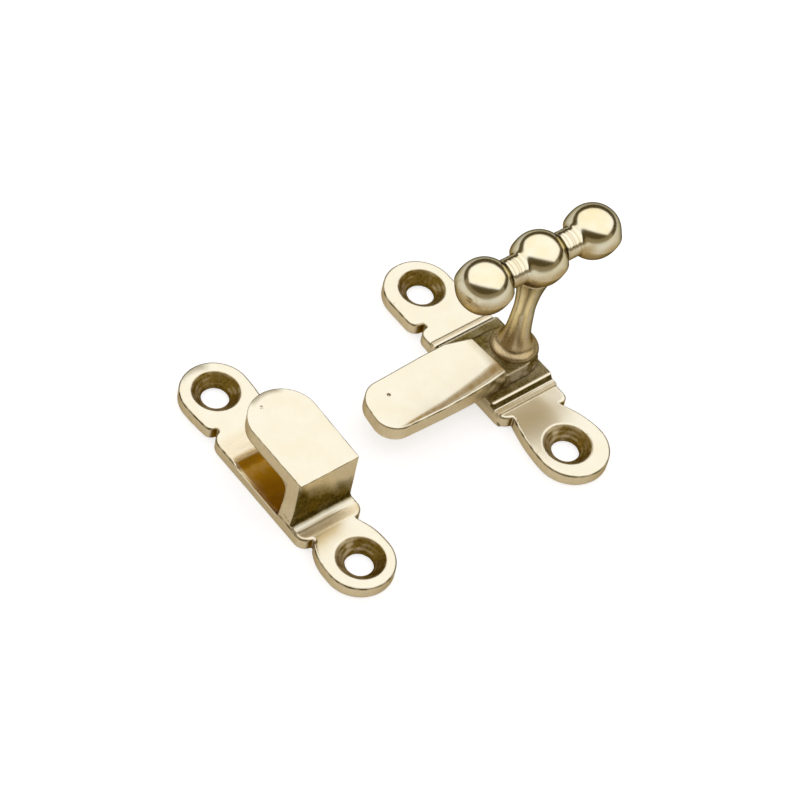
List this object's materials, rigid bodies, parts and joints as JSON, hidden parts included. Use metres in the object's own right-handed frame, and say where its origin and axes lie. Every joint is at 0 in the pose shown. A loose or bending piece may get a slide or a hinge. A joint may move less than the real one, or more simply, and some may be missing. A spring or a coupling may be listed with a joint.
{
  "type": "turn latch",
  "caption": "Small brass turn latch: a ball-ended T-handle swings a flat tongue into the hook of a separate keeper, and both plates screw down through countersunk ears.",
  "frame": {"origin": "middle of the latch plate's flat back face", "axes": "+Z out of the surface that the latch is screwed to, X along the line of each plate's two screw holes, -Y from the latch plate towards the keeper, along the tongue at rest"},
  "size_m": [0.0387, 0.0516, 0.0237],
  "materials": {
    "cast_brass": "satin polished casting",
    "turned_brass": "polished turning",
    "spring_brass": "plain"
  },
  "bodies": {
    "plate": {"latch_plate": "cast_brass"},
    "turn_handle": {"tongue": "cast_brass", "friction_washer": "spring_brass", "stem": "turned_brass", "ball_bar": "turned_brass"},
    "keeper": {"keeper": "cast_brass"}
  },
  "joints": [
    {"name": "tongue_turn", "type": "hinge", "parent": "plate", "child": "turn_handle", "pos_m": [0, 0.00275, 0.0028], "axis": [0, 0, -1], "range_deg": [0, 90]},
    {"name": "keeper_place", "type": "slide", "parent": "plate", "child": "keeper", "axis": [0, 1, 0], "range_m": [0, 0.015]}
  ]
}
